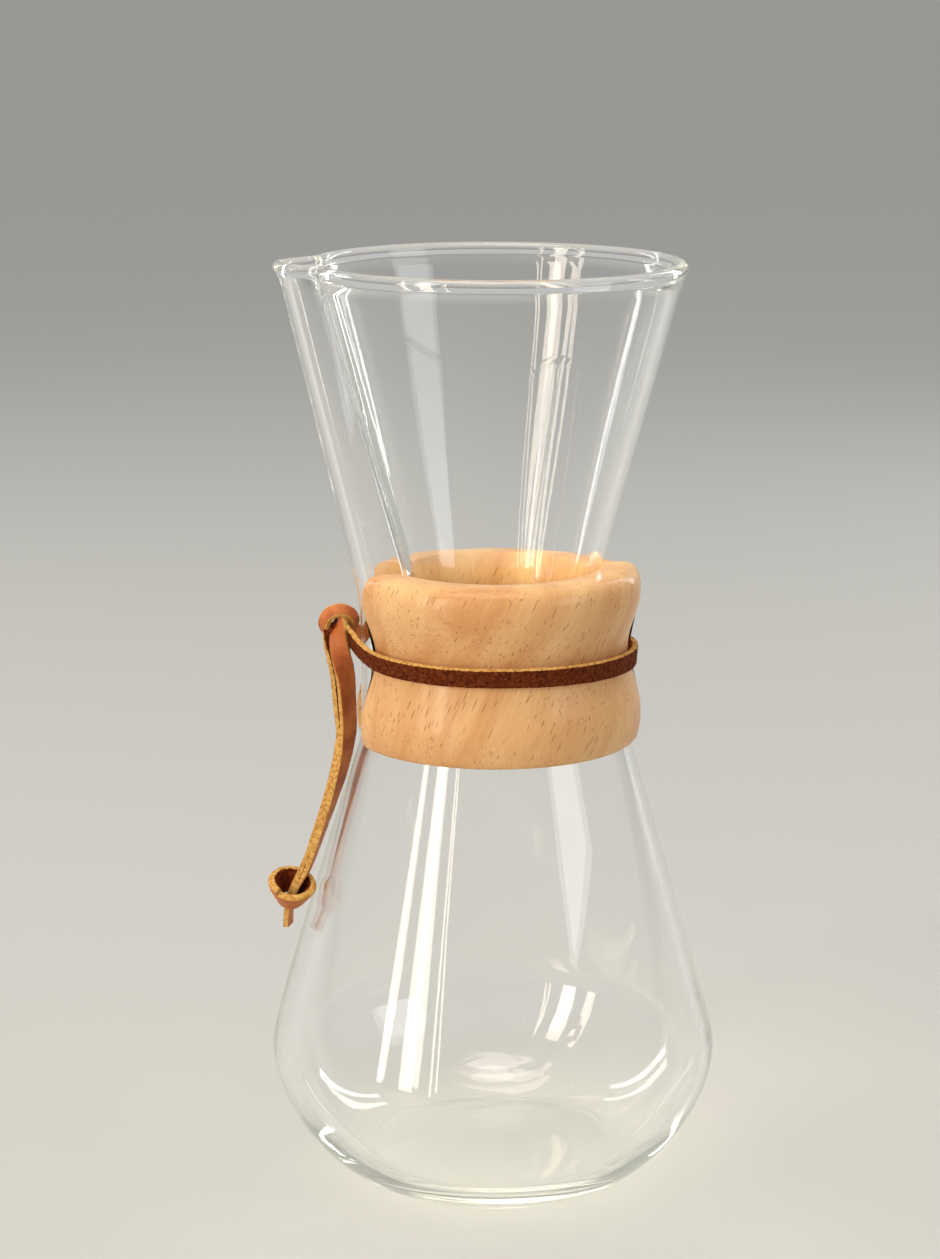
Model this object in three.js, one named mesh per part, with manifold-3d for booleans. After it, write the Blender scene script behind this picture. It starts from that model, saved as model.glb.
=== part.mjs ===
// Pour-over coffee maker: one blown glass vessel (funnel, waist and flask, with a pouring channel),
// a two-part turned wooden collar round its waist, and a leather lace that ties the collar
// and hangs in two tails joined by a knot.
// Millimetres, +Z up. The origin is the centre of the base. The spout points to -X, the front is -Y.
import * as THREE from 'three';
import { mergeVertices } from 'three/addons/utils/BufferGeometryUtils.js';
import Module from 'manifold-3d';

// Glass vessel: the funnel and the flask are two cones that meet at the waist
const HEIGHT = 208.3;
const WALL = 2.6;
const FLOOR = 4;
const RIM_RADIUS = 41.7;
const RIM_BEAD = 3.4;
const RIM_PROUD = 0.8;
const WAIST_HEIGHT = 132.5;
const WAIST_RADIUS = 21.2;
const WAIST_EASE = 1.2;
const BELLY_HEIGHT = 31;
const BELLY_RADIUS = 51.2;
const BELLY_EASE = 0.8;
const FOOT_RADIUS = 28;
const HEEL_FULLNESS = 1.65;

// Pouring channel: a gutter blown outwards from the spout down to the flask's shoulder
const CHANNEL_WAIST_DEPTH = 8.6;
const CHANNEL_RIM_DEPTH = 6.3;
const CHANNEL_EASE = 0.6;
const CHANNEL_WAIST_WIDTH = 22.6;
const CHANNEL_RIM_WIDTH = 25.4;
const CHANNEL_SIDE_WALL = 2;
const CHANNEL_ROUNDNESS = 0.75;
const SPOUT_FLARE = 1;
const SPOUT_FLARE_HEIGHT = 6;
const SPOUT_WIDENING = 1.2;
const SPOUT_POINT = 0.8;

// Wooden collar: an hourglass ring sawn into a front and a back half.
// Its level is measured from the glass's waist, and its wood from the bore outwards
const COLLAR_CLEARANCE = 0.5;
const COLLAR_RISE = 8.8;
const COLLAR_WAIST_DROP = 9.3;
const COLLAR_DROP = 30.3;
const COLLAR_CROWN_HEIGHT = 5.6;
const COLLAR_CROWN_FULLNESS = 2.7;
const COLLAR_HEM_HEIGHT = 5.4;
const COLLAR_TOP_WOOD = 3.2;
const COLLAR_TOP_LIP_WOOD = 9.3;
const COLLAR_WAIST_WOOD = 5.1;
const COLLAR_LOW_LIP_WOOD = 3.7;
const COLLAR_BOTTOM_WOOD = 0.9;
const COLLAR_BACK_DROP = 2.2;
const SAW_CUT = 2;
const CHANNEL_SIDE_CLEARANCE = 0.8;

// Leather lace
const LACE_WIDTH = 4.4;
const LACE_THICKNESS = 1.8;
const LACE_BEVEL = 0.5;
const LACE_GAP = 0.4;
const TAIL_GAP = 0.7;
const TIE_DROP = 0.9;
const UPPER_KNOT_RADIUS = 4.6;
const UPPER_KNOT_STRAND = 1.8;
const UPPER_KNOT_WIDTH = 5;
const UPPER_KNOT_RISE = 4.2;
const LOWER_KNOT_RADIUS = 5;
const LOWER_KNOT_WIDTH = 9;
const LOWER_KNOT_DROP = 56.3;
const LOWER_KNOT_CLEARANCE = 0.5;
const TIP_LENGTH = 4.6;

// Facets
const CHANNEL_STEPS = 12;
const ROUND_STEPS = 36;
const HEEL_STEPS = 7;
const FLASK_STEPS = 9;
const FUNNEL_STEPS = 6;
const BEAD_STEPS = 6;
const COLLAR_STEPS = 48;
const COLLAR_EDGE_STEPS = 5;
const BORE_STEPS = 8;
const TIE_STEPS = 48;
const TAIL_STEPS = 14;
const KNOT_STEPS = 24;
const STRAND_STEPS = 10;

const wasm = await Module();
wasm.setup();

const softMax = (a, b, ease) => (a + b) / 2 + Math.hypot((a - b) / 2, ease);
const softMin = (a, b, ease) => (a + b) / 2 - Math.hypot((a - b) / 2, ease);

function steps(from, to, count) {
  return Array.from({ length: count + 1 }, (_, i) => from + ((to - from) * i) / count);
}

const CONE_TOP = HEIGHT - RIM_BEAD;
const CONE_TOP_RADIUS = RIM_RADIUS - RIM_PROUD;
const CONE_SLOPE = (CONE_TOP_RADIUS - WAIST_RADIUS) / (CONE_TOP - WAIST_HEIGHT);
const FLASK_SLOPE = (BELLY_RADIUS - WAIST_RADIUS) / (WAIST_HEIGHT - BELLY_HEIGHT);

// Outside of the funnel and the flask's cone, eased into each other at the waist
function hourglassRadius(z) {
  const funnel = WAIST_RADIUS + (z - WAIST_HEIGHT) * CONE_SLOPE;
  const flask = WAIST_RADIUS + (WAIST_HEIGHT - z) * FLASK_SLOPE;
  return softMax(funnel, flask, WAIST_EASE);
}

// Radius of the glass at height z, without the channel: inset 0 is the outside, WALL the inside
function glassRadius(z, inset = 0, floor = 0) {
  const below = Math.min(1, Math.max(0, (BELLY_HEIGHT - z) / (BELLY_HEIGHT - floor)));
  const swell = (1 - below ** HEEL_FULLNESS) ** (1 / HEEL_FULLNESS);
  const heel = FOOT_RADIUS + (BELLY_RADIUS - inset - FOOT_RADIUS) * swell;
  return softMin(hourglassRadius(z) - inset, heel, BELLY_EASE);
}

// How near height z is to the rim, from 0 below the spout's flare to 1 at the rim
const spoutShare = (z) => Math.max(0, 1 - (HEIGHT - z) / SPOUT_FLARE_HEIGHT);

// How far the channel's outer line stands from the axis
function channelReach(z) {
  const waist = WAIST_RADIUS + CHANNEL_WAIST_DEPTH;
  const rim = CONE_TOP_RADIUS + CHANNEL_RIM_DEPTH;
  const line = waist + ((z - WAIST_HEIGHT) * (rim - waist)) / (CONE_TOP - WAIST_HEIGHT);
  return softMax(waist, line, CHANNEL_EASE) + SPOUT_FLARE * spoutShare(z) ** 2;
}

const channelDepth = (z) => softMax(channelReach(z) - hourglassRadius(z), 0, CHANNEL_EASE / 2);

function channelHalfWidth(z) {
  const rise = Math.max(0, (z - WAIST_HEIGHT) / (HEIGHT - WAIST_HEIGHT));
  const width = CHANNEL_WAIST_WIDTH + (CHANNEL_RIM_WIDTH - CHANNEL_WAIST_WIDTH) * rise;
  return width / 2 + (SPOUT_WIDENING / 2) * spoutShare(z) ** 2;
}

// One ring of the glass: a circle with the channel's swelling about the -X direction
function glassRing(z, radius, inset = 0) {
  const half = Math.asin((channelHalfWidth(z) - inset) / radius);
  const depth = channelDepth(z);
  const roundness = CHANNEL_ROUNDNESS + SPOUT_POINT * spoutShare(z);
  const ring = [];
  const place = (r, angle) => ring.push(new THREE.Vector3(-r * Math.cos(angle), -r * Math.sin(angle), z));
  for (const u of steps(-1, 1, CHANNEL_STEPS).slice(0, -1)) {
    place(radius + depth * (1 - u * u) ** roundness, u * half);
  }
  for (const angle of steps(half, 2 * Math.PI - half, ROUND_STEPS).slice(0, -1)) {
    place(radius, angle);
  }
  return ring;
}

// Closed surface through rings of equally many points, with its first and last rings filled flat
function loft(rings) {
  const count = rings[0].length;
  const points = rings.flat();
  const faces = [];
  const quad = (a, b, c, d) => faces.push(a, b, c, a, c, d);
  for (let k = 0; k + 1 < rings.length; k++) {
    for (let i = 0; i < count; i++) {
      const next = (i + 1) % count;
      quad(k * count + i, k * count + next, (k + 1) * count + next, (k + 1) * count + i);
    }
  }
  const fill = (ring, first, flip) => {
    const centre = new THREE.Vector3();
    ring.forEach((p) => centre.addScaledVector(p, 1 / count));
    const hub = points.push(centre) - 1;
    for (let i = 0; i < count; i++) {
      const next = (i + 1) % count;
      faces.push(...(flip ? [hub, first + next, first + i] : [hub, first + i, first + next]));
    }
  };
  fill(rings[0], 0, true);
  fill(rings.at(-1), (rings.length - 1) * count, false);
  const geometry = new THREE.BufferGeometry().setFromPoints(points);
  geometry.setIndex(faces);
  return geometry;
}

function glassVessel() {
  const heel = (floor) =>
    steps(0, Math.PI / 2, HEEL_STEPS).map((t) => BELLY_HEIGHT - (BELLY_HEIGHT - floor) * Math.cos(t));
  const body = [
    ...steps(BELLY_HEIGHT, WAIST_HEIGHT, FLASK_STEPS).slice(1),
    ...steps(WAIST_HEIGHT, HEIGHT - SPOUT_FLARE_HEIGHT, FUNNEL_STEPS).slice(1),
  ];
  const outside = [...heel(0), ...body].map((z) => glassRing(z, glassRadius(z)));
  const beadRadius = RIM_BEAD / 2;
  const bead = steps(-Math.PI / 4, (Math.PI * 5) / 4, BEAD_STEPS).map((t) => {
    const radius = RIM_RADIUS - beadRadius + beadRadius * Math.cos(t);
    return glassRing(HEIGHT - beadRadius + beadRadius * Math.sin(t), radius, beadRadius * (1 - Math.cos(t)));
  });
  const inside = [...heel(FLOOR), ...body].map((z) =>
    glassRing(z, glassRadius(z, WALL, FLOOR), CHANNEL_SIDE_WALL),
  );
  return loft([...outside, ...bead, ...inside.reverse()]);
}

const COLLAR_TOP = WAIST_HEIGHT + COLLAR_RISE;
const COLLAR_BOTTOM = WAIST_HEIGHT - COLLAR_DROP;
const COLLAR_TOP_LIP = COLLAR_TOP - COLLAR_CROWN_HEIGHT;
const COLLAR_LOW_LIP = COLLAR_BOTTOM + COLLAR_HEM_HEIGHT;
const COLLAR_WAIST = WAIST_HEIGHT - COLLAR_WAIST_DROP;

const boreRadius = (z) => glassRadius(z) + COLLAR_CLEARANCE;
const COLLAR_TOP_LIP_RADIUS = boreRadius(COLLAR_TOP_LIP) + COLLAR_TOP_LIP_WOOD;
const COLLAR_WAIST_RADIUS = boreRadius(COLLAR_WAIST) + COLLAR_WAIST_WOOD;
const COLLAR_LOW_LIP_RADIUS = boreRadius(COLLAR_LOW_LIP) + COLLAR_LOW_LIP_WOOD;

// Outside of the collar at a height above its waist
function collarRadius(rise) {
  const up = rise > 0;
  const lip = up ? COLLAR_TOP_LIP_RADIUS : COLLAR_LOW_LIP_RADIUS;
  const span = (up ? COLLAR_TOP_LIP : COLLAR_LOW_LIP) - COLLAR_WAIST;
  return COLLAR_WAIST_RADIUS + ((lip - COLLAR_WAIST_RADIUS) * (1 - Math.cos((Math.PI * rise) / span))) / 2;
}

// The whole collar ring at a drop below its level: hourglass outside, and a bore that follows the glass
function collarRing(drop) {
  const top = COLLAR_TOP - drop;
  const bottom = COLLAR_BOTTOM - drop;
  const topLip = COLLAR_TOP_LIP - drop;
  const lowLip = COLLAR_LOW_LIP - drop;
  const waist = COLLAR_WAIST - drop;
  const crown = boreRadius(top) + COLLAR_TOP_WOOD;
  const hem = boreRadius(bottom) + COLLAR_BOTTOM_WOOD;
  const full = 2 / COLLAR_CROWN_FULLNESS;
  const outline = [
    ...steps(0, Math.PI / 2, COLLAR_EDGE_STEPS).map((t) => [
      hem + (COLLAR_LOW_LIP_RADIUS - hem) * Math.sin(t),
      lowLip - (lowLip - bottom) * Math.cos(t),
    ]),
    ...steps(lowLip, waist, COLLAR_EDGE_STEPS).slice(1).map((z) => [collarRadius(z - waist), z]),
    ...steps(waist, topLip, COLLAR_EDGE_STEPS).slice(1).map((z) => [collarRadius(z - waist), z]),
    ...steps(0, Math.PI / 2, COLLAR_EDGE_STEPS).slice(1).map((t) => [
      crown + (COLLAR_TOP_LIP_RADIUS - crown) * Math.cos(t) ** full,
      topLip + (top - topLip) * Math.sin(t) ** full,
    ]),
    ...steps(top, bottom, BORE_STEPS).map((z) => [boreRadius(z), z]),
  ];
  return latheRing(outline, COLLAR_STEPS);
}

// Ring turned about Z from an outline of [radius, height] points, closed on itself
function latheRing(outline, count) {
  const points = outline.map(([radius, height]) => new THREE.Vector2(radius, height));
  return new THREE.LatheGeometry([...points, points[0]], count).rotateX(Math.PI / 2);
}

// Upright prism over a plan outline of [x, y] points
function prism(plan, bottom, top) {
  const shape = new THREE.Shape(plan.map(([x, y]) => new THREE.Vector2(x, y)));
  return new THREE.ExtrudeGeometry(shape, { depth: top - bottom, bevelEnabled: false }).translate(0, 0, bottom);
}

function solid(geometry) {
  geometry.deleteAttribute('normal');
  geometry.deleteAttribute('uv');
  const merged = mergeVertices(geometry, 1e-4);
  return new wasm.Manifold(
    new wasm.Mesh({
      numProp: 3,
      vertProperties: new Float32Array(merged.attributes.position.array),
      triVerts: new Uint32Array(merged.index.array),
    }),
  );
}

function geometryOf(manifold) {
  const mesh = manifold.getMesh();
  const geometry = new THREE.BufferGeometry();
  geometry.setAttribute('position', new THREE.BufferAttribute(mesh.vertProperties, 3));
  geometry.setIndex(new THREE.BufferAttribute(mesh.triVerts, 1));
  return geometry;
}

// One half of the collar: side -1 is the front, 1 the back. On the channel's side it stops beside the channel
function collarHalf(side, drop) {
  const reach = 2 * Math.max(COLLAR_TOP_LIP_RADIUS, COLLAR_LOW_LIP_RADIUS);
  const besideChannel = side * (channelHalfWidth(COLLAR_TOP) + CHANNEL_SIDE_CLEARANCE);
  const besideSawCut = (side * SAW_CUT) / 2;
  const plan = [
    [-reach, besideChannel],
    [0, besideChannel],
    [0, besideSawCut],
    [reach, besideSawCut],
    [reach, side * reach],
    [-reach, side * reach],
  ];
  const keep = prism(side < 0 ? plan : plan.toReversed(), 0, HEIGHT);
  return geometryOf(solid(collarRing(drop)).intersect(solid(keep)));
}

// The tie runs round the collar's waist, outside both halves and the channel
const TIE_HEIGHT = COLLAR_WAIST - TIE_DROP;
const TIE_EDGES = [TIE_HEIGHT - LACE_WIDTH / 2, TIE_HEIGHT + LACE_WIDTH / 2];
const TIE_RISES = TIE_EDGES.flatMap((z) => [z, z + COLLAR_BACK_DROP]).map((z) => z - COLLAR_WAIST);
const TIE_INNER = Math.max(...TIE_RISES.map(collarRadius), channelReach(TIE_EDGES[1])) + LACE_GAP;
const TIE_OUTER = TIE_INNER + LACE_THICKNESS;

// The tie is open where its ends run into the upper knot
function tieBand() {
  const [low, high] = TIE_EDGES;
  const section = [
    [TIE_INNER, low],
    [TIE_INNER, high],
    [TIE_OUTER - LACE_BEVEL, high],
    [TIE_OUTER, high - LACE_BEVEL],
    [TIE_OUTER, low + LACE_BEVEL],
    [TIE_OUTER - LACE_BEVEL, low],
  ];
  const end = Math.asin((UPPER_KNOT_WIDTH / 2 + LACE_GAP) / TIE_INNER);
  const rings = steps(end, 2 * Math.PI - end, TIE_STEPS).map((angle) =>
    section.map(([r, z]) => new THREE.Vector3(-r * Math.cos(angle), -r * Math.sin(angle), z)),
  );
  return loft(rings);
}

// The upper knot is a loop of lace beside the channel, and the tails leave from under it
const UPPER_KNOT = new THREE.Vector3(-(TIE_INNER + UPPER_KNOT_RADIUS), 0, TIE_HEIGHT + UPPER_KNOT_RISE);

function upperKnot() {
  const middle = UPPER_KNOT_RADIUS - UPPER_KNOT_STRAND;
  const ring = new THREE.TorusGeometry(middle, UPPER_KNOT_STRAND, STRAND_STEPS, KNOT_STEPS);
  return ring.scale(1, 1, UPPER_KNOT_WIDTH / 2 / UPPER_KNOT_STRAND).rotateX(Math.PI / 2);
}

// Routes of the tails from the upper knot down along the flask to the lower knot:
// how far outwards of the tie, and how far below it
const FRONT_TAIL_ROUTE = [
  [2.2, 1.0],
  [1.2, 5.8],
  [0.6, 13.3],
  [0.8, 20.3],
  [2.9, 28.3],
  [6.0, 38.9],
  [9.4, 48.5],
  [10.8, 52.0],
];
const BACK_TAIL_ROUTE = [
  [3.2, 1.0],
  [2.4, 6.3],
  [1.8, 13.3],
  [1.8, 20.3],
  [3.5, 28.3],
  [6.3, 38.9],
  [9.5, 48.5],
  [10.9, 52.0],
];

// Section of the lace: its thickness lies along Y and its width in the plane of the route
function laceSection() {
  const x = LACE_THICKNESS / 2;
  const y = LACE_WIDTH / 2;
  const b = LACE_BEVEL;
  const corners = [
    [x, y - b], [x - b, y], [b - x, y], [-x, y - b],
    [-x, b - y], [b - x, -y], [x - b, -y], [x, b - y],
  ];
  return new THREE.Shape(corners.map(([through, across]) => new THREE.Vector2(through, across)));
}

function lace(route, count) {
  const extrudePath = new THREE.CatmullRomCurve3(route);
  return new THREE.ExtrudeGeometry(laceSection(), { extrudePath, steps: count, bevelEnabled: false });
}

// side -1 is the front tail, 1 the back one
const tailY = (side) => (side * (LACE_THICKNESS + TAIL_GAP)) / 2;

function tail(side, route) {
  const points = route.map(
    ([out, drop]) => new THREE.Vector3(-(TIE_OUTER + out), tailY(side), TIE_HEIGHT - drop),
  );
  return lace(points, TAIL_STEPS);
}

// The lower knot rests against the flask
const LOWER_KNOT_HEIGHT = TIE_HEIGHT - LOWER_KNOT_DROP;
const LOWER_KNOT_REACH = glassRadius(LOWER_KNOT_HEIGHT) + LOWER_KNOT_CLEARANCE + LOWER_KNOT_RADIUS;
const LOWER_KNOT = new THREE.Vector3(-LOWER_KNOT_REACH, 0, LOWER_KNOT_HEIGHT);

function lowerKnot() {
  const ball = new THREE.SphereGeometry(LOWER_KNOT_RADIUS, KNOT_STEPS, STRAND_STEPS);
  return ball.scale(1, LOWER_KNOT_WIDTH / 2 / LOWER_KNOT_RADIUS, 1);
}

function tip(side) {
  const start = LOWER_KNOT_HEIGHT - LOWER_KNOT_RADIUS - LACE_GAP;
  const ends = [start, start - TIP_LENGTH].map((z) => new THREE.Vector3(-LOWER_KNOT_REACH, tailY(side), z));
  return lace(ends, 1);
}

const glass = { color: '#dfe6dc', roughness: 0.03, metalness: 0, transparent: true, opacity: 0.35 };
const wood = { color: '#d9a873', roughness: 0.35, metalness: 0 };
const suede = { color: '#5f2f1d', roughness: 0.9, metalness: 0 };
const leather = { color: '#a8572c', roughness: 0.6, metalness: 0 };

const coffeeMaker = new THREE.Group();

function add(name, geometry, material, position = new THREE.Vector3()) {
  const mesh = new THREE.Mesh(geometry, new THREE.MeshStandardMaterial(material));
  mesh.name = name;
  mesh.position.copy(position);
  coffeeMaker.add(mesh);
}

add('glass_vessel', glassVessel(), glass);
add('collar_front', collarHalf(-1, 0), wood);
add('collar_back', collarHalf(1, COLLAR_BACK_DROP), wood);
add('tie_band', tieBand(), suede);
add('upper_knot', upperKnot(), leather, UPPER_KNOT);
add('front_tail', tail(-1, FRONT_TAIL_ROUTE), leather);
add('back_tail', tail(1, BACK_TAIL_ROUTE), leather);
add('lower_knot', lowerKnot(), leather, LOWER_KNOT);
add('front_tip', tip(-1), leather);
add('back_tip', tip(1), leather);

export default coffeeMaker;
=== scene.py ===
"""Pour-over coffee maker: a blown glass vessel, a sawn wooden collar and the leather lace that ties it."""

import math

import bpy
import numpy as np
from mathutils import Euler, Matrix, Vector


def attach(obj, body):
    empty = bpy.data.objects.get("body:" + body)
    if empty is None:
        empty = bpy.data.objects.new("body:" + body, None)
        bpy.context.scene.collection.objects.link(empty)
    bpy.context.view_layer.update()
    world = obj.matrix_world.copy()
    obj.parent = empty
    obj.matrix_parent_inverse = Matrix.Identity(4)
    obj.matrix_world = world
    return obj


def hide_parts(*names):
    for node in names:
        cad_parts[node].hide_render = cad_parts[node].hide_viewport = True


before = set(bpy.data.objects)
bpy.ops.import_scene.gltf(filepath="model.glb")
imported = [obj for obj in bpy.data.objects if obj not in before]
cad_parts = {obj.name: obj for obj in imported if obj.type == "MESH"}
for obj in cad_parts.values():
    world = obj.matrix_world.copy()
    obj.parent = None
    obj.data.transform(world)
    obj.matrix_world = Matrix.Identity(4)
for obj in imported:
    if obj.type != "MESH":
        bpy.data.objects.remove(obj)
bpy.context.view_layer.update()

# Glass vessel.
# One piece of borosilicate glass, blown into a mould: a funnel and a flask that meet at a narrow waist,
# a rim fire-polished into a round bead, and a pouring channel pushed out from the spout to the shoulder.
MM = 0.001
HEIGHT = 208.3
WALL = 2.6
FLOOR = 4.0
FLOOR_DOME = 1.0
BASE_KICK = 1.2
RIM_RADIUS = 41.7
RIM_BEAD = 3.0
RIM_PROUD = 0.6
WAIST_HEIGHT = 132.5
WAIST_RADIUS = 21.2
WAIST_EASE = 1.2
BELLY_HEIGHT = 31.0
BELLY_RADIUS = 51.2
BELLY_EASE = 0.8
FOOT_RADIUS = 28.0
HEEL_FULLNESS = 1.65
CHANNEL_WAIST_DEPTH = 8.6
CHANNEL_RIM_DEPTH = 6.3
CHANNEL_EASE = 0.6
CHANNEL_WAIST_WIDTH = 22.6
CHANNEL_RIM_WIDTH = 25.4
CHANNEL_SIDE_WALL = 2.0
CHANNEL_ROUNDNESS = 0.9
FOLD_EASE = 0.012
SPOUT_FLARE = 1.0
SPOUT_FLARE_HEIGHT = 6.0
SPOUT_WIDENING = 1.2
SPOUT_POINT = 0.8
BLOWN_RIPPLE = 0.09
TURNS_BEFORE_LEAVING = 12

CONE_TOP = HEIGHT - RIM_BEAD
CONE_TOP_RADIUS = RIM_RADIUS - RIM_PROUD


def soft_max(a, b, ease):
    return (a + b) / 2 + np.hypot((a - b) / 2, ease)


def soft_min(a, b, ease):
    return (a + b) / 2 - np.hypot((a - b) / 2, ease)


def hourglass_radius(z):
    """Outside of the funnel and of the flask's cone, eased into each other at the waist."""
    cone_slope = (CONE_TOP_RADIUS - WAIST_RADIUS) / (CONE_TOP - WAIST_HEIGHT)
    flask_slope = (BELLY_RADIUS - WAIST_RADIUS) / (WAIST_HEIGHT - BELLY_HEIGHT)
    funnel = WAIST_RADIUS + (z - WAIST_HEIGHT) * cone_slope
    flask = WAIST_RADIUS + (WAIST_HEIGHT - z) * flask_slope
    return soft_max(funnel, flask, WAIST_EASE)


def glass_radius(z, inset=0.0, floor=0.0):
    """Radius of the glass at height z without the channel: inset 0 is the outside, WALL the inside."""
    below = np.clip((BELLY_HEIGHT - z) / (BELLY_HEIGHT - floor), 0, 1)
    swell = (1 - below**HEEL_FULLNESS) ** (1 / HEEL_FULLNESS)
    heel = FOOT_RADIUS + (BELLY_RADIUS - inset - FOOT_RADIUS) * swell
    return soft_min(hourglass_radius(z) - inset, heel, BELLY_EASE)


def spout_share(z):
    return max(0.0, 1 - (HEIGHT - z) / SPOUT_FLARE_HEIGHT)


def channel_reach(z):
    """How far the channel's outer line stands from the axis."""
    waist = WAIST_RADIUS + CHANNEL_WAIST_DEPTH
    rim = CONE_TOP_RADIUS + CHANNEL_RIM_DEPTH
    line = waist + (z - WAIST_HEIGHT) * (rim - waist) / (CONE_TOP - WAIST_HEIGHT)
    return soft_max(waist, line, CHANNEL_EASE) + SPOUT_FLARE * spout_share(z) ** 2


def channel_half_width(z):
    rise = max(0.0, (z - WAIST_HEIGHT) / (HEIGHT - WAIST_HEIGHT))
    width = CHANNEL_WAIST_WIDTH + (CHANNEL_RIM_WIDTH - CHANNEL_WAIST_WIDTH) * rise
    return width / 2 + SPOUT_WIDENING / 2 * spout_share(z) ** 2


def glass_ring(z, radius, inset=0.0):
    """One ring of the glass: a circle with the channel's swelling about -X, and the waver of blown glass."""
    half = math.asin((channel_half_width(z) - inset) / radius)
    depth = soft_max(channel_reach(z) - hourglass_radius(z), 0, CHANNEL_EASE / 2)
    roundness = CHANNEL_ROUNDNESS + SPOUT_POINT * spout_share(z)
    side = np.concatenate([np.linspace(0, 0.8, 14)[1:], np.linspace(0.8, 1.2, 34)[1:]])
    channel = np.concatenate([-side[::-1], [0], side])
    rest = np.linspace(side[-1] * half, 2 * math.pi - side[-1] * half, 152)[1:-1]
    angle = np.concatenate([channel * half, rest])
    u = np.minimum(angle, 2 * math.pi - angle) / half
    swell = depth * soft_max(1 - u * u, 0, FOLD_EASE) ** roundness
    waver = np.sin(2 * angle + 0.013 * z) + 0.6 * np.sin(5 * angle - 0.021 * z + 1.3)
    waver += 0.35 * np.sin(9 * angle + 0.034 * z + 0.4) * (1 + np.sin(0.05 * z))
    r = radius + swell + BLOWN_RIPPLE * waver * (inset > 0)
    return np.stack([-r * np.cos(angle), -r * np.sin(angle), np.full(len(r), z)], axis=1)


def floor_rings(ring, rise, count=14):
    """Rings that close a ring towards its centre, swelling upwards by rise."""
    shares = np.sin(np.linspace(0, math.pi / 2, count + 1))[1:-1]
    lift = np.array([0, 0, rise])
    return [ring * [s, s, 1] + lift * (1 - s * s) for s in shares]


def ring_mesh(name, rings):
    """A closed mesh through rings of equally many points, each end closed by a fan."""
    count = len(rings[0])
    ends = [rings[0].mean(axis=0), rings[-1].mean(axis=0)]
    points = np.concatenate([*rings, ends]) * MM
    step = np.arange(count)
    after = (step + 1) % count
    faces = []
    for k in range(len(rings) - 1):
        low, high = k * count, (k + 1) * count
        faces += np.stack([low + step, low + after, high + after, high + step], axis=1).tolist()
    hub = len(rings) * count
    last = hub - count
    faces += [(hub, b, a) for a, b in zip(step.tolist(), after.tolist())]
    faces += [(hub + 1, last + a, last + b) for a, b in zip(step.tolist(), after.tolist())]
    mesh = bpy.data.meshes.new(name)
    mesh.from_pydata(points.tolist(), [], faces)
    mesh.shade_smooth()
    return mesh


def new_piece(name, mesh, material):
    """An object at the origin, with its place in its mesh."""
    mesh.materials.append(material)
    piece = bpy.data.objects.new(name, mesh)
    bpy.context.scene.collection.objects.link(piece)
    return piece


def heel_heights(floor):
    return BELLY_HEIGHT - (BELLY_HEIGHT - floor) * np.cos(np.linspace(0, math.pi / 2, 34))


def vessel_rings():
    """Rings from the middle of the base, up the outside, over the bead and down the inside to the floor."""
    body = np.concatenate(
        [
            np.linspace(BELLY_HEIGHT, WAIST_HEIGHT, 44)[1:],
            np.linspace(WAIST_HEIGHT, CONE_TOP, 34)[1:],
        ]
    )
    outside = [glass_ring(z, glass_radius(z)) for z in [*heel_heights(0.0), *body]]
    inside = [
        glass_ring(z, glass_radius(z, WALL, FLOOR), CHANNEL_SIDE_WALL) for z in [*heel_heights(FLOOR), *body]
    ]
    bead_radius = RIM_BEAD / 2
    bead = []
    for turn in np.linspace(-math.pi / 5, math.pi * 6 / 5, 25):
        inset = bead_radius * (1 - math.cos(turn))
        z = HEIGHT - bead_radius + bead_radius * math.sin(turn)
        bead.append(glass_ring(z, RIM_RADIUS - inset, inset))
    base = floor_rings(outside[0], BASE_KICK)
    floor = floor_rings(inside[0], FLOOR_DOME)
    return [*base, *outside, *bead, *inside[::-1], *floor[::-1]]


def linear(hex_colour):
    """An sRGB hex colour as the linear colour that a shader socket takes."""
    srgb = [int(hex_colour[i : i + 2], 16) / 255 for i in (1, 3, 5)]
    return [*(c / 12.92 if c <= 0.04045 else ((c + 0.055) / 1.055) ** 2.4 for c in srgb), 1.0]


def add(tree, kind, inputs=None, **settings):
    """Adds a node with its settings. An input is a value, or the output socket that is linked to it."""
    node = tree.nodes.new(kind)
    for name, value in settings.items():
        setattr(node, name, value)
    for socket, value in (inputs or {}).items():
        if isinstance(value, bpy.types.NodeSocket):
            tree.links.new(value, node.inputs[socket])
        else:
            node.inputs[socket].default_value = value
    return node


def new_material(name):
    """An empty material with its output node."""
    material = bpy.data.materials.new(name)
    material.use_nodes = True
    material.node_tree.nodes.clear()
    output = add(material.node_tree, "ShaderNodeOutputMaterial")
    return material, material.node_tree, output


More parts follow.
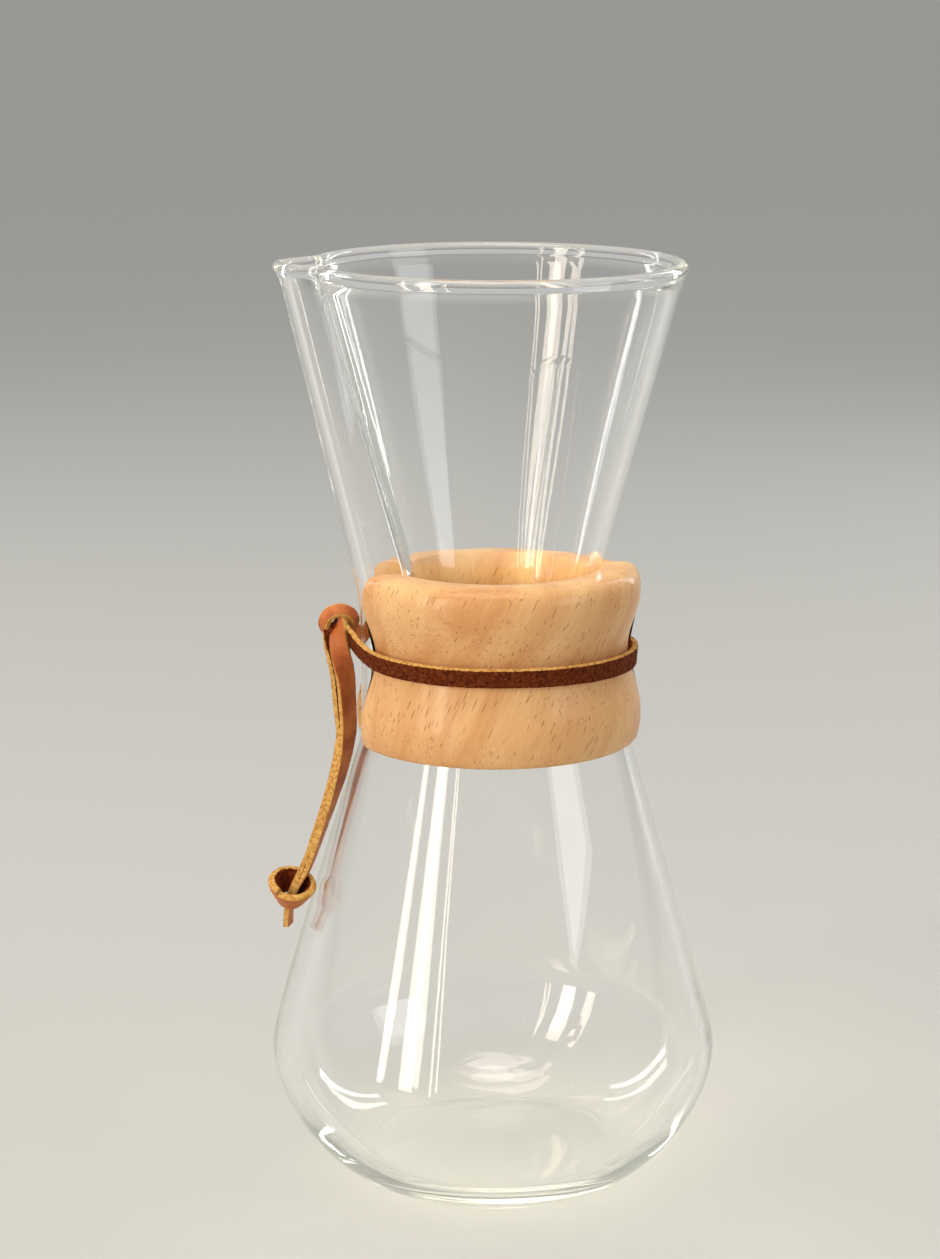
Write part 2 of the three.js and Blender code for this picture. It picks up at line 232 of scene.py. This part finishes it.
def borosilicate_glass():
    """Clear and fire-polished, so nearly a mirror at its edges, with a faint straw green where it is thick.
    Light from the lamps passes it straight, as it does through a thin wall, and light that has run to and fro
    inside the wall too often leaves it."""
    material, tree, output = new_material("borosilicate_glass")
    glass = add(
        tree,
        "ShaderNodeBsdfPrincipled",
        {
            "Base Color": linear("#ffffff"),
            "Roughness": 0.0,
            "IOR": 1.474,
            "Transmission Weight": 1.0,
        },
    )
    clear = add(tree, "ShaderNodeBsdfTransparent", {"Color": linear("#f6f7f4")})
    ray = add(tree, "ShaderNodeLightPath")
    caught = add(
        tree,
        "ShaderNodeMath",
        {0: ray.outputs["Ray Depth"], 1: TURNS_BEFORE_LEAVING},
        operation="GREATER_THAN",
    )
    straight = add(
        tree, "ShaderNodeMath", {0: ray.outputs["Is Shadow Ray"], 1: caught.outputs[0]}, operation="MAXIMUM"
    )
    surface = add(
        tree, "ShaderNodeMixShader", {0: straight.outputs[0], 1: glass.outputs[0], 2: clear.outputs[0]}
    )
    body = add(tree, "ShaderNodeVolumeAbsorption", {"Color": linear("#e9efd8"), "Density": 4.0})
    tree.links.new(surface.outputs[0], output.inputs["Surface"])
    tree.links.new(body.outputs[0], output.inputs["Volume"])
    return material


vessel = new_piece("vessel_glass", ring_mesh("vessel_glass", vessel_rings()), borosilicate_glass())
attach(vessel, "vessel")
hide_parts("glass_vessel")

# Wooden collar.
# A ring of pale hardwood, turned to an hourglass and bored to fit the waist, then sawn into a front
# and a back half that stop beside the channel. Its edges are sanded round and it is lacquered satin.
COLLAR_CLEARANCE = 0.5
COLLAR_TOP = WAIST_HEIGHT + 8.8
COLLAR_BOTTOM = WAIST_HEIGHT - 30.3
COLLAR_WAIST = WAIST_HEIGHT - 9.3
COLLAR_TOP_LIP = COLLAR_TOP - 5.6
COLLAR_LOW_LIP = COLLAR_BOTTOM + 5.4
COLLAR_TOP_WOOD = 3.2
COLLAR_TOP_LIP_WOOD = 9.3
COLLAR_WAIST_WOOD = 5.1
COLLAR_LOW_LIP_WOOD = 3.7
COLLAR_BOTTOM_WOOD = 0.9
COLLAR_BACK_DROP = 2.2
SAW_CUT = 2.0
CHANNEL_SIDE_CLEARANCE = 0.8
SANDED_EDGE = 0.7
CROWN_FULLNESS = 2.7


def bore_radius(z):
    return glass_radius(z) + COLLAR_CLEARANCE


COLLAR_TOP_LIP_RADIUS = bore_radius(COLLAR_TOP_LIP) + COLLAR_TOP_LIP_WOOD
COLLAR_WAIST_RADIUS = bore_radius(COLLAR_WAIST) + COLLAR_WAIST_WOOD
COLLAR_LOW_LIP_RADIUS = bore_radius(COLLAR_LOW_LIP) + COLLAR_LOW_LIP_WOOD


def collar_radius(rise):
    """Outside of the collar at a height above its waist."""
    lip = np.where(rise > 0, COLLAR_TOP_LIP_RADIUS, COLLAR_LOW_LIP_RADIUS)
    span = np.where(rise > 0, COLLAR_TOP_LIP - COLLAR_WAIST, COLLAR_LOW_LIP - COLLAR_WAIST)
    return COLLAR_WAIST_RADIUS + (lip - COLLAR_WAIST_RADIUS) * (1 - np.cos(math.pi * rise / span)) / 2


def collar_outline(drop):
    """Closed section of the collar as radius and height, from the hem up the outside and down the bore."""
    top, bottom = COLLAR_TOP - drop, COLLAR_BOTTOM - drop
    top_lip, low_lip, waist = COLLAR_TOP_LIP - drop, COLLAR_LOW_LIP - drop, COLLAR_WAIST - drop
    crown = bore_radius(top) + COLLAR_TOP_WOOD
    hem = bore_radius(bottom) + COLLAR_BOTTOM_WOOD
    turn = np.linspace(0, math.pi / 2, 15)
    full = 2 / CROWN_FULLNESS
    side = np.concatenate([np.linspace(low_lip, waist, 19)[1:], np.linspace(waist, top_lip, 19)[1:]])
    bore = np.linspace(top, bottom, 25)
    radius = [
        hem + (COLLAR_LOW_LIP_RADIUS - hem) * np.sin(turn),
        collar_radius(side - waist),
        crown + (COLLAR_TOP_LIP_RADIUS - crown) * np.cos(turn[1:]) ** full,
        bore_radius(bore),
    ]
    height = [
        low_lip - (low_lip - bottom) * np.cos(turn),
        side,
        top_lip + (top - top_lip) * np.sin(turn[1:]) ** full,
        bore,
    ]
    return np.concatenate(radius), np.concatenate(height)


def collar_half(name, side, drop, material):
    """One half, swept from its flat end beside the channel to its flat end at the saw cut.
    side -1 is the front and 1 the back."""
    radius, height = collar_outline(drop)
    beside_channel = channel_half_width(COLLAR_TOP) + CHANNEL_SIDE_CLEARANCE
    start = np.arcsin(beside_channel / radius)
    end = math.pi - np.arcsin(SAW_CUT / 2 / radius)
    rings = []
    for share in np.linspace(0, 1, 97):
        angle = start + (end - start) * share
        rings.append(np.stack([-radius * np.cos(angle), side * radius * np.sin(angle), height], axis=1))
    mesh = ring_mesh(name + "_wood", rings if side < 0 else rings[::-1])
    piece = new_piece(name + "_wood", mesh, material)
    sanded = piece.modifiers.new("sanded", "BEVEL")
    sanded.limit_method = "ANGLE"
    sanded.angle_limit = math.radians(40)
    sanded.width = SANDED_EDGE * MM
    sanded.segments = 4
    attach(piece, "vessel")
    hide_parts(name)


def lacquered_rubberwood():
    """Rubberwood turned and lacquered: pale tan with soft broad figure, and open pores that the turning cuts
    along the grain as short brown dashes and across it as dots."""
    material, tree, output = new_material("lacquered_rubberwood")
    place = add(tree, "ShaderNodeTexCoord")
    grain = add(
        tree,
        "ShaderNodeMapping",
        {
            "Vector": place.outputs["Object"],
            "Rotation": Euler((math.radians(10), math.radians(-24), 0)),
            "Scale": (1 / MM, 1 / MM, 1 / MM),
        },
    )
    along_grain = (1, 1, 0.08)
    fibre = add(tree, "ShaderNodeVectorMath", {0: grain.outputs[0], 1: along_grain}, operation="MULTIPLY")
    figure = add(
        tree,
        "ShaderNodeTexNoise",
        {"Vector": fibre.outputs[0], "Scale": 0.12, "Detail": 3, "Distortion": 0.5},
    )
    tone = add(tree, "ShaderNodeValToRGB", {0: figure.outputs[0]})
    tone.color_ramp.elements[0].position = 0.3
    tone.color_ramp.elements[0].color = linear("#cf945a")
    tone.color_ramp.elements[1].position = 0.7
    tone.color_ramp.elements[1].color = linear("#e5b980")
    streak = add(
        tree, "ShaderNodeTexNoise", {"Vector": fibre.outputs[0], "Scale": 1.4, "Detail": 3, "Roughness": 0.65}
    )
    fleck = add(
        tree,
        "ShaderNodeMapRange",
        {0: streak.outputs[0], "From Min": 0.4, "From Max": 0.75, "To Min": 0.0, "To Max": 0.3},
    )
    streaked = add(
        tree,
        "ShaderNodeMix",
        {0: fleck.outputs[0], 6: tone.outputs[0], 7: linear("#bb7f49")},
        data_type="RGBA",
    )
    pore_spacing = 0.5
    pore = add(tree, "ShaderNodeTexVoronoi", {"Vector": fibre.outputs[0], "Scale": 1 / pore_spacing})
    rarity = add(tree, "ShaderNodeSeparateColor", {0: pore.outputs["Color"]})
    reach = add(
        tree,
        "ShaderNodeMapRange",
        {0: rarity.outputs[0], "From Min": 0.0, "From Max": 1.0, "To Min": 0.0, "To Max": 0.4},
    )
    depth = add(
        tree, "ShaderNodeMath", {0: reach.outputs[0], 1: pore.outputs["Distance"]}, operation="SUBTRACT"
    )
    pit = add(
        tree, "ShaderNodeMapRange", {0: depth.outputs[0], "From Min": 0.0, "From Max": 0.14, "To Max": 0.7}
    )
    pored = add(
        tree,
        "ShaderNodeMix",
        {0: pit.outputs[0], 6: streaked.outputs[2], 7: linear("#94602f")},
        data_type="RGBA",
    )
    dent = add(
        tree, "ShaderNodeBump", {"Height": pit.outputs[0], "Strength": 0.3, "Distance": 0.1 * MM}, invert=True
    )
    shader = add(
        tree,
        "ShaderNodeBsdfPrincipled",
        {
            "Base Color": pored.outputs[2],
            "Roughness": 0.5,
            "Specular IOR Level": 0.3,
            "Normal": dent.outputs[0],
            "Coat Weight": 0.3,
            "Coat Roughness": 0.16,
        },
    )
    tree.links.new(shader.outputs[0], output.inputs["Surface"])
    return material


rubberwood = lacquered_rubberwood()
collar_half("collar_front", -1, 0.0, rubberwood)
collar_half("collar_back", 1, COLLAR_BACK_DROP, rubberwood)

# Leather lace.
# One flat thong of split cowhide, rough dark flesh on one side, smooth grain on the other and raw ochre
# where it was cut. Flesh side out it girds the collar, then its ends are knotted and hang as two tails.
LACE_WIDTH = 4.4
LACE_THICKNESS = 1.3
LACE_CORNER = 0.18
NAP_HEIGHT = 0.25
FIBRE_DENSITY = 4.0e6
FIBRE_LENGTH = 0.6
TIE_HEIGHT = COLLAR_WAIST - 0.9


def spline(points, count):
    """A smooth run of count points through the given ones, evenly spaced along it."""
    p = np.array(points, float)
    p = np.concatenate([[2 * p[0] - p[1]], p, [2 * p[-1] - p[-2]]])
    t = np.linspace(0, 1, 24, endpoint=False)[:, None]
    run = []
    for a, b, c, d in zip(p, p[1:], p[2:], p[3:]):
        run.append(b + t / 2 * (c - a + t * (2 * a - 5 * b + 4 * c - d + t * (3 * (b - c) + d - a))))
    run = np.concatenate([*run, p[-2:-1]])
    walked = np.concatenate([[0], np.cumsum(np.linalg.norm(np.diff(run, axis=0), axis=1))])
    even = np.linspace(0, walked[-1], count)
    return np.stack([np.interp(even, walked, run[:, i]) for i in range(run.shape[1])], axis=1)


def thong_nodes():
    """Sweeps a flat thong with rounded corners along a path whose points say where the grain side faces.
    Fibres stand out of its cut edges. skin is 1 on the grain side, -1 on the flesh and 0 on a cut edge."""
    tree = bpy.data.node_groups.new("thong", "GeometryNodeTree")
    face = tree.interface
    face.new_socket("Path", in_out="INPUT", socket_type="NodeSocketGeometry")
    for name in ("Width", "Thickness", "Corner", "Roughness", "Fibre Density", "Fibre Length"):
        face.new_socket(name, in_out="INPUT", socket_type="NodeSocketFloat")
    face.new_socket("Seed", in_out="INPUT", socket_type="NodeSocketInt")
    face.new_socket("Leather", in_out="INPUT", socket_type="NodeSocketMaterial")
    face.new_socket("Thong", in_out="OUTPUT", socket_type="NodeSocketGeometry")
    given = add(tree, "NodeGroupInput").outputs
    curve = add(tree, "GeometryNodeMeshToCurve", {0: given["Path"]})
    facing = add(tree, "GeometryNodeInputNamedAttribute", {"Name": "facing"}, data_type="FLOAT_VECTOR")
    turned = add(tree, "GeometryNodeSetCurveNormal", {0: curve.outputs[0]}, mode="FREE")
    tree.links.new(facing.outputs[0], turned.inputs["Normal"])

    flat = add(
        tree, "GeometryNodeCurvePrimitiveQuadrilateral", {0: given["Thickness"], 1: given["Width"]}
    )
    eased = add(tree, "GeometryNodeFilletCurve", {0: flat.outputs[0], "Radius": given["Corner"]}, mode="POLY")
    eased.inputs["Count"].default_value = 5
    section = add(tree, "GeometryNodeResampleCurve", {0: eased.outputs[0], "Count": 64})
    spot = add(tree, "GeometryNodeInputPosition")
    through = add(tree, "ShaderNodeSeparateXYZ", {0: spot.outputs[0]})
    half = add(tree, "ShaderNodeMath", {0: given["Thickness"], 1: 0.5}, operation="MULTIPLY")
    skin = add(tree, "ShaderNodeMath", {0: through.outputs[0], 1: half.outputs[0]}, operation="DIVIDE")
    marked = add(
        tree,
        "GeometryNodeStoreNamedAttribute",
        {0: section.outputs[0], "Name": "skin", "Value": skin.outputs[0]},
        data_type="FLOAT",
        domain="POINT",
    )
    swept = add(
        tree,
        "GeometryNodeCurveToMesh",
        {0: turned.outputs[0], 1: marked.outputs[0], "Fill Caps": True},
    )

    nap = add(tree, "ShaderNodeTexNoise", {"Scale": 900.0, "Detail": 3})
    centred = add(tree, "ShaderNodeMath", {0: nap.outputs[0], 1: 0.5}, operation="SUBTRACT")
    raised = add(tree, "ShaderNodeMath", {0: centred.outputs[0], 1: given["Roughness"]}, operation="MULTIPLY")
    outward = add(tree, "GeometryNodeInputNormal")
    push = add(
        tree, "ShaderNodeVectorMath", {0: outward.outputs[0], "Scale": raised.outputs[0]}, operation="SCALE"
    )
    rough = add(tree, "GeometryNodeSetPosition", {0: swept.outputs[0], "Offset": push.outputs[0]})

    side = add(tree, "GeometryNodeInputNamedAttribute", {"Name": "skin"}, data_type="FLOAT")
    level = add(tree, "ShaderNodeMath", {0: side.outputs[0]}, operation="ABSOLUTE")
    raw = add(tree, "ShaderNodeMath", {0: level.outputs[0], 1: 0.9}, operation="LESS_THAN")
    roots = add(
        tree,
        "GeometryNodeDistributePointsOnFaces",
        {
            "Mesh": rough.outputs[0],
            "Selection": raw.outputs[0],
            "Density": given["Fibre Density"],
            "Seed": given["Seed"],
        },
    )
    fibre = add(
        tree,
        "GeometryNodeMeshCone",
        {"Vertices": 3, "Radius Bottom": 0.025 * MM, "Depth": given["Fibre Length"]},
        fill_type="NONE",
    )
    lie = add(
        tree,
        "FunctionNodeRandomValue",
        {"Min": (-1.1, -1.1, 0.0), "Max": (1.1, 1.1, 6.3), "Seed": given["Seed"]},
        data_type="FLOAT_VECTOR",
    )
    bend = add(
        tree,
        "FunctionNodeRotateRotation",
        {0: roots.outputs["Rotation"], 1: lie.outputs[0]},
        rotation_space="LOCAL",
    )
    reach = add(
        tree,
        "FunctionNodeRandomValue",
        {2: 0.35, 3: 1.0, "Seed": given["Seed"]},
        data_type="FLOAT",
    )
    fuzz = add(
        tree,
        "GeometryNodeInstanceOnPoints",
        {
            0: roots.outputs["Points"],
            "Instance": fibre.outputs[0],
            "Rotation": bend.outputs[0],
            "Scale": reach.outputs[1],
        },
    )
    both = add(tree, "GeometryNodeJoinGeometry", {0: fuzz.outputs[0]})
    tree.links.new(rough.outputs[0], both.inputs[0])
    plain = add(tree, "GeometryNodeRealizeInstances", {0: both.outputs[0]})
    smooth = add(tree, "GeometryNodeSetShadeSmooth", {0: plain.outputs[0]})
    done = add(tree, "GeometryNodeSetMaterial", {0: smooth.outputs[0], "Material": given["Leather"]})
    add(tree, "NodeGroupOutput", {0: done.outputs[0]})
    return tree


def cowhide_thong():
    """Vegetable-tanned cowhide: a closed, slightly shiny grain, a dark rough flesh side with a nap,
    and pale ochre fibres where the knife went through."""
    material, tree, output = new_material("cowhide_thong")
    place = add(tree, "ShaderNodeTexCoord")
    skin = add(tree, "ShaderNodeAttribute", attribute_name="skin")
    fine = add(
        tree,
        "ShaderNodeTexNoise",
        {"Vector": place.outputs["Object"], "Scale": 1 / (0.8 * MM), "Detail": 4, "Roughness": 0.7},
    )
    broad = add(
        tree, "ShaderNodeTexNoise", {"Vector": place.outputs["Object"], "Scale": 1 / (5 * MM), "Detail": 3}
    )
    fray = add(tree, "ShaderNodeMath", {0: fine.outputs[0], 1: 0.5}, operation="SUBTRACT")
    frayed = add(
        tree,
        "ShaderNodeMath",
        {0: fray.outputs[0], 1: 0.5, 2: skin.outputs["Fac"]},
        operation="MULTIPLY_ADD",
    )
    grain_share = add(tree, "ShaderNodeMapRange", {0: frayed.outputs[0], "From Min": 0.8, "From Max": 0.92})
    flesh_share = add(
        tree, "ShaderNodeMapRange", {0: frayed.outputs[0], "From Min": -0.78, "From Max": -0.92}
    )
    grain = add(tree, "ShaderNodeValToRGB", {0: broad.outputs[0]})
    grain.color_ramp.elements[0].position = 0.32
    grain.color_ramp.elements[0].color = linear("#a34f20")
    grain.color_ramp.elements[1].position = 0.68
    grain.color_ramp.elements[1].color = linear("#c97438")
    raw = add(tree, "ShaderNodeValToRGB", {0: fine.outputs[0]})
    raw.color_ramp.elements[0].position = 0.34
    raw.color_ramp.elements[0].color = linear("#b0742f")
    raw.color_ramp.elements[1].position = 0.6
    raw.color_ramp.elements[1].color = linear("#e2b46a")
    flesh = add(tree, "ShaderNodeValToRGB", {0: fine.outputs[0]})
    flesh.color_ramp.elements[0].position = 0.36
    flesh.color_ramp.elements[0].color = linear("#431405")
    flesh.color_ramp.elements[1].position = 0.66
    flesh.color_ramp.elements[1].color = linear("#7d3c1a")
    grained = add(
        tree,
        "ShaderNodeMix",
        {0: grain_share.outputs[0], 6: raw.outputs[0], 7: grain.outputs[0]},
        data_type="RGBA",
    )
    colour = add(
        tree,
        "ShaderNodeMix",
        {0: flesh_share.outputs[0], 6: grained.outputs[2], 7: flesh.outputs[0]},
        data_type="RGBA",
    )
    dull = add(tree, "ShaderNodeMapRange", {0: grain_share.outputs[0], "To Min": 0.95, "To Max": 0.5})
    shine = add(tree, "ShaderNodeMapRange", {0: grain_share.outputs[0], "To Min": 0.08, "To Max": 0.35})
    relief = add(tree, "ShaderNodeMapRange", {0: grain_share.outputs[0], "To Min": 1.0, "To Max": 0.12})
    nap = add(
        tree,
        "ShaderNodeBump",
        {"Height": fine.outputs[0], "Strength": relief.outputs[0], "Distance": 0.4 * MM},
    )
    shader = add(
        tree,
        "ShaderNodeBsdfPrincipled",
        {
            "Base Color": colour.outputs[2],
            "Roughness": dull.outputs[0],
            "Specular IOR Level": shine.outputs[0],
            "Normal": nap.outputs[0],
        },
    )
    tree.links.new(shader.outputs[0], output.inputs["Surface"])
    return material


THONG = thong_nodes()
COWHIDE = cowhide_thong()


def thong(
    name, path, facing, body, nodes, seed, width=LACE_WIDTH, thickness=LACE_THICKNESS, corner=LACE_CORNER
):
    """A stretch of the lace along a path, as a plain mesh that stands for the given nodes."""
    wire = bpy.data.meshes.new(name + "_path")
    wire.from_pydata((path * MM).tolist(), [(i, i + 1) for i in range(len(path) - 1)], [])
    sides = wire.attributes.new("facing", "FLOAT_VECTOR", "POINT")
    sides.data.foreach_set("vector", np.asarray(facing, np.float32).ravel())
    draft = bpy.data.objects.new(name + "_draft", wire)
    bpy.context.scene.collection.objects.link(draft)
    sweep = draft.modifiers.new("thong", "NODES")
    sweep.node_group = THONG
    sizes = {
        "Width": width * MM,
        "Thickness": thickness * MM,
        "Corner": corner * MM,
        "Roughness": NAP_HEIGHT * MM,
        "Fibre Density": FIBRE_DENSITY,
        "Fibre Length": FIBRE_LENGTH * MM,
        "Seed": seed,
        "Leather": COWHIDE,
    }
    for socket in THONG.interface.items_tree:
        if socket.in_out == "INPUT" and socket.name in sizes:
            sweep[socket.identifier] = sizes[socket.name]
    made = draft.evaluated_get(bpy.context.evaluated_depsgraph_get())
    mesh = bpy.data.meshes.new_from_object(made)
    mesh.name = name
    bpy.data.objects.remove(draft)
    piece = bpy.data.objects.new(name, mesh)
    bpy.context.scene.collection.objects.link(piece)
    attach(piece, body)
    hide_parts(*nodes)
    return piece


# The band round the collar.
# It lies flesh side out in the collar's groove, leaning out at the front so that its upper cut edge shows,
# sinks with the lower back half, and climbs at both ends to the upper knot.
# Each point is the way round from the channel in degrees, the rise, the radius and the lean in degrees.
BAND_COURSE = [
    (3.5, 4.2, 33.4, 8),
    (8.5, 2.8, 32.4, 10),
    (18, 1.5, 31.9, 14),
    (32, 0.3, 31.6, 18),
    (60, 0.0, 31.5, 20),
    (95, 0.0, 31.5, 20),
    (130, -0.5, 31.4, 14),
    (165, -1.2, 31.25, 5),
    (200, -1.8, 31.2, 2),
    (250, -2.2, 31.3, 4),
    (300, -2.0, 31.4, 6),
    (330, -1.0, 31.6, 6),
    (343, 0.8, 31.9, 6),
    (352, 2.6, 32.3, 6),
    (357, 4.0, 33.4, 6),
]
course = spline(BAND_COURSE, 260)
way_round, lean = np.radians(course[:, :1]), np.radians(course[:, 3:])
outward = np.hstack([-np.cos(way_round), -np.sin(way_round), 0 * way_round])
band_path = outward * course[:, 2:3] + (TIE_HEIGHT + course[:, 1:2]) * [0, 0, 1]
band_facing = -outward * np.cos(lean) + np.sin(lean) * [0, 0, 1]
tie_band = thong("tie_band_lace", band_path, band_facing, "tie", ["tie_band"], 3)

# The upper knot.
# Both ends of the lace are drawn through a turn of it beside the channel: a ring, grain side out and
# leaning towards the front, out of which the tails come forwards and fall over its lip.
UPPER_KNOT = np.array([-34.7, -0.7, 128.0])


def wrap(centre, axis, radius, flare, start, end, climb, count=110):
    """A turn of lace round an axis, which climbs along it and changes its radius from first to last,
    and where its grain side faces: outwards, and by the flare in degrees towards the axis's end."""
    w = np.array(axis, float) / np.linalg.norm(axis)
    right = np.cross([0, 1, 0], w) if abs(w[1]) < 0.7 else np.array([1.0, 0, 0])
    right -= w * (right @ w)
    right /= np.linalg.norm(right)
    over = np.cross(w, right)
    turn = np.radians(np.linspace(start, end, count))[:, None]
    out = np.cos(turn) * right + np.sin(turn) * over
    along = np.linspace(-climb / 2, climb / 2, count)[:, None]
    lean = math.radians(flare)
    spiral = np.linspace(*radius, count)[:, None]
    return centre + spiral * out + along * w, out * math.cos(lean) + w * math.sin(lean)


UPPER_AXIS = (0.05, -0.93, -0.37)
UPPER_RADII = (3.2, 3.5)
UPPER_FLARE = 30
UPPER_TURN = (-80, 300)
UPPER_CLIMB = 0.4
CRUSHED_THICKNESS = 1.8
UPPER_LACE_WIDTH = 3.2
UPPER_LACE_CORNER = 0.8
knot_path, knot_facing = wrap(UPPER_KNOT, UPPER_AXIS, UPPER_RADII, UPPER_FLARE, *UPPER_TURN, UPPER_CLIMB)
upper_knot = thong(
    "upper_knot_lace",
    knot_path,
    knot_facing,
    "tie",
    ["upper_knot"],
    5,
    UPPER_LACE_WIDTH,
    CRUSHED_THICKNESS,
    UPPER_LACE_CORNER,
)

# The two tails.
# The ends of the lace hang flesh to flesh from the upper knot over the collar's gap and along the flask,
# twisting so that their cut edges come to the front, and end in slanting cuts below the lower knot.
# Each point is x, y, z and how far the front tail's grain side has turned from the front to the right.
FRONT_COURSE = [
    (-34.8, 0.6, 128.5, -44),
    (-34.8, -1.6, 128.2, -44),
    (-35.0, -3.5, 126.0, -38),
    (-34.6, -3.7, 121.8, -8),
    (-33.6, -2.5, 116.7, 24),
    (-33.2, -1.9, 111.4, 38),
    (-33.0, -1.5, 103.6, 44),
    (-34.1, -1.9, 96.4, 57),
    (-36.4, -2.8, 88.5, 68),
    (-39.3, -3.1, 80.1, 75),
    (-42.3, -3.4, 72.0, 78),
    (-44.8, -3.3, 67.4, 78),
    (-46.5, -2.7, 63.4, 76),
    (-46.9, -2.7, 58.6, 74),
]
BACK_COURSE = [
    (-35.2, 1.2, 128.8, -40),
    (-35.8, -0.8, 128.1, -28),
    (-36.2, -1.9, 125.4, 10),
    (-35.9, -1.3, 121.0, 48),
    (-35.3, -0.2, 116.6, 58),
    (-34.7, -0.1, 111.4, 54),
]
FLESH_TO_FLESH = LACE_THICKNESS * 0.82
BACK_TIP_STEPS = 5


def tail_facing(run):
    turn = np.radians(run[:, 3:])
    return np.hstack([np.sin(turn), -np.cos(turn), 0 * turn])


front_run = spline(FRONT_COURSE, 130)
front_path, front_facing = front_run[:, :3], tail_facing(front_run)
behind = np.hstack([front_path - front_facing * FLESH_TO_FLESH, front_run[:, 3:]])
joined = behind[front_run[:, 2] < FRONT_COURSE[6][2]][:-BACK_TIP_STEPS]
back_run = spline([*BACK_COURSE, *joined[::6], joined[-1]], 130)
back_path, back_facing = back_run[:, :3], -tail_facing(back_run)
front_tail = thong("front_tail_lace", front_path, front_facing, "tails", ["front_tail", "front_tip"], 11)
back_tail = thong("back_tail_lace", back_path, back_facing, "tails", ["back_tail", "back_tip"], 17)

# The lower knot.
# The tails are tied together once more: a turn of lace round both, grain side out, open at the top
# where they go in, and drawn narrower at the bottom where their cut tips come out.
LOWER_KNOT = np.array([-46.0, -3.6, 66.9])
LOWER_AXIS = (0.1, -0.42, 0.9)
LOWER_RADII = (3.2, 3.7)
LOWER_FLARE = -28
LOWER_TURN = (170, 590)
LOWER_CLIMB = 1.4
LOWER_LACE_WIDTH = 5.8
LOWER_LACE_CORNER = 0.6
low_path, low_facing = wrap(LOWER_KNOT, LOWER_AXIS, LOWER_RADII, LOWER_FLARE, *LOWER_TURN, LOWER_CLIMB)
lower_knot = thong(
    "lower_knot_lace",
    low_path,
    low_facing,
    "tails",
    ["lower_knot"],
    23,
    LOWER_LACE_WIDTH,
    CRUSHED_THICKNESS,
    LOWER_LACE_CORNER,
)

# Studio.
# A wide pale floor under an even pale sky, a tall window of strip boxes at the front left and a soft fill,
# seen by a camera at the photograph's place and angle.
FLOOR_REACH = 60.0
FLOOR_GAP = 0.0002
floor_mesh = bpy.data.meshes.new("studio_floor")
corners = [(x * FLOOR_REACH, y * FLOOR_REACH, 0) for x, y in ((-1, -1), (1, -1), (1, 1), (-1, 1))]
floor_mesh.from_pydata(corners, [], [(0, 1, 2, 3)])
floor_material, tree, output = new_material("studio_floor")
paint = add(tree, "ShaderNodeBsdfPrincipled", {"Base Color": linear("#c2c2bf"), "Roughness": 0.6})
tree.links.new(paint.outputs[0], output.inputs["Surface"])
floor = new_piece("studio_floor", floor_mesh, floor_material)
floor.location.z = -FLOOR_GAP

world = bpy.data.worlds.new("studio")
bpy.context.scene.world = world
world.use_nodes = True
tree = world.node_tree
tree.nodes.clear()
sky = add(tree, "ShaderNodeBackground", {"Color": linear("#d8d8d6"), "Strength": 0.75})
far_floor = add(tree, "ShaderNodeBackground", {"Color": linear("#969793")})
ray = add(tree, "ShaderNodeLightPath")
seen = add(
    tree, "ShaderNodeMixShader", {0: ray.outputs["Is Camera Ray"], 1: sky.outputs[0], 2: far_floor.outputs[0]}
)
add(tree, "ShaderNodeOutputWorld", {"Surface": seen.outputs[0]})


def softbox(name, place, aim, width, height, watts, colour="#ffffff"):
    lamp = bpy.data.lights.new(name, "AREA")
    lamp.shape = "RECTANGLE"
    lamp.size = width
    lamp.size_y = height
    lamp.energy = watts
    lamp.color = linear(colour)[:3]
    box = bpy.data.objects.new(name, lamp)
    box.location = place
    box.rotation_euler = (Vector(aim) - Vector(place)).to_track_quat("-Z", "Y").to_euler()
    bpy.context.scene.collection.objects.link(box)


middle = (0, 0, 0.11)
softbox("window", (-0.85, -0.75, 0.48), middle, 0.16, 0.9, 5.5, "#fff1de")
softbox("window_side", (-1.02, -0.52, 0.48), middle, 0.07, 0.9, 2.2, "#fff1de")
softbox("window_slit", (-0.66, -0.92, 0.48), middle, 0.025, 0.9, 0.8, "#fff1de")
softbox("fill", (0.9, -0.6, 0.5), middle, 0.5, 0.5, 2.0)
softbox("rim_right", (0.75, 0.75, 0.52), middle, 0.10, 0.8, 2.0)
softbox("rim_left", (-0.8, 0.7, 0.52), middle, 0.10, 0.8, 2.0)
softbox("top", (-0.1, -0.1, 1.1), middle, 0.6, 0.6, 5.0, "#fff6ea")

IMAGE_HEIGHT = 1259
FOCAL_PIXELS = 3000
SENSOR = 36.0
STAND_OFF = 0.6535
STAND_HEIGHT = 0.2763
AZIMUTH = math.radians(4.6)
PITCH = math.radians(12.966)
YAW = AZIMUTH - math.radians(0.487)
ROLL = math.radians(0.144)
camera_data = bpy.data.cameras.new("camera")
camera_data.sensor_width = SENSOR
camera_data.lens = FOCAL_PIXELS / IMAGE_HEIGHT * SENSOR
camera_data.clip_start = 0.01
camera = bpy.data.objects.new("camera", camera_data)
camera.location = (-STAND_OFF * math.sin(AZIMUTH), -STAND_OFF * math.cos(AZIMUTH), STAND_HEIGHT)
look = Vector((math.sin(YAW) * math.cos(PITCH), math.cos(YAW) * math.cos(PITCH), -math.sin(PITCH)))
camera.rotation_mode = "QUATERNION"
camera.rotation_quaternion = look.to_track_quat("-Z", "Y") @ Euler((0, 0, ROLL)).to_quaternion()
bpy.context.scene.collection.objects.link(camera)
bpy.context.scene.camera = camera
bpy.context.scene.view_settings.view_transform = "Standard"
bpy.context.scene.cycles.max_bounces = 24
bpy.context.scene.cycles.glossy_bounces = 16
bpy.context.scene.cycles.transmission_bounces = 24
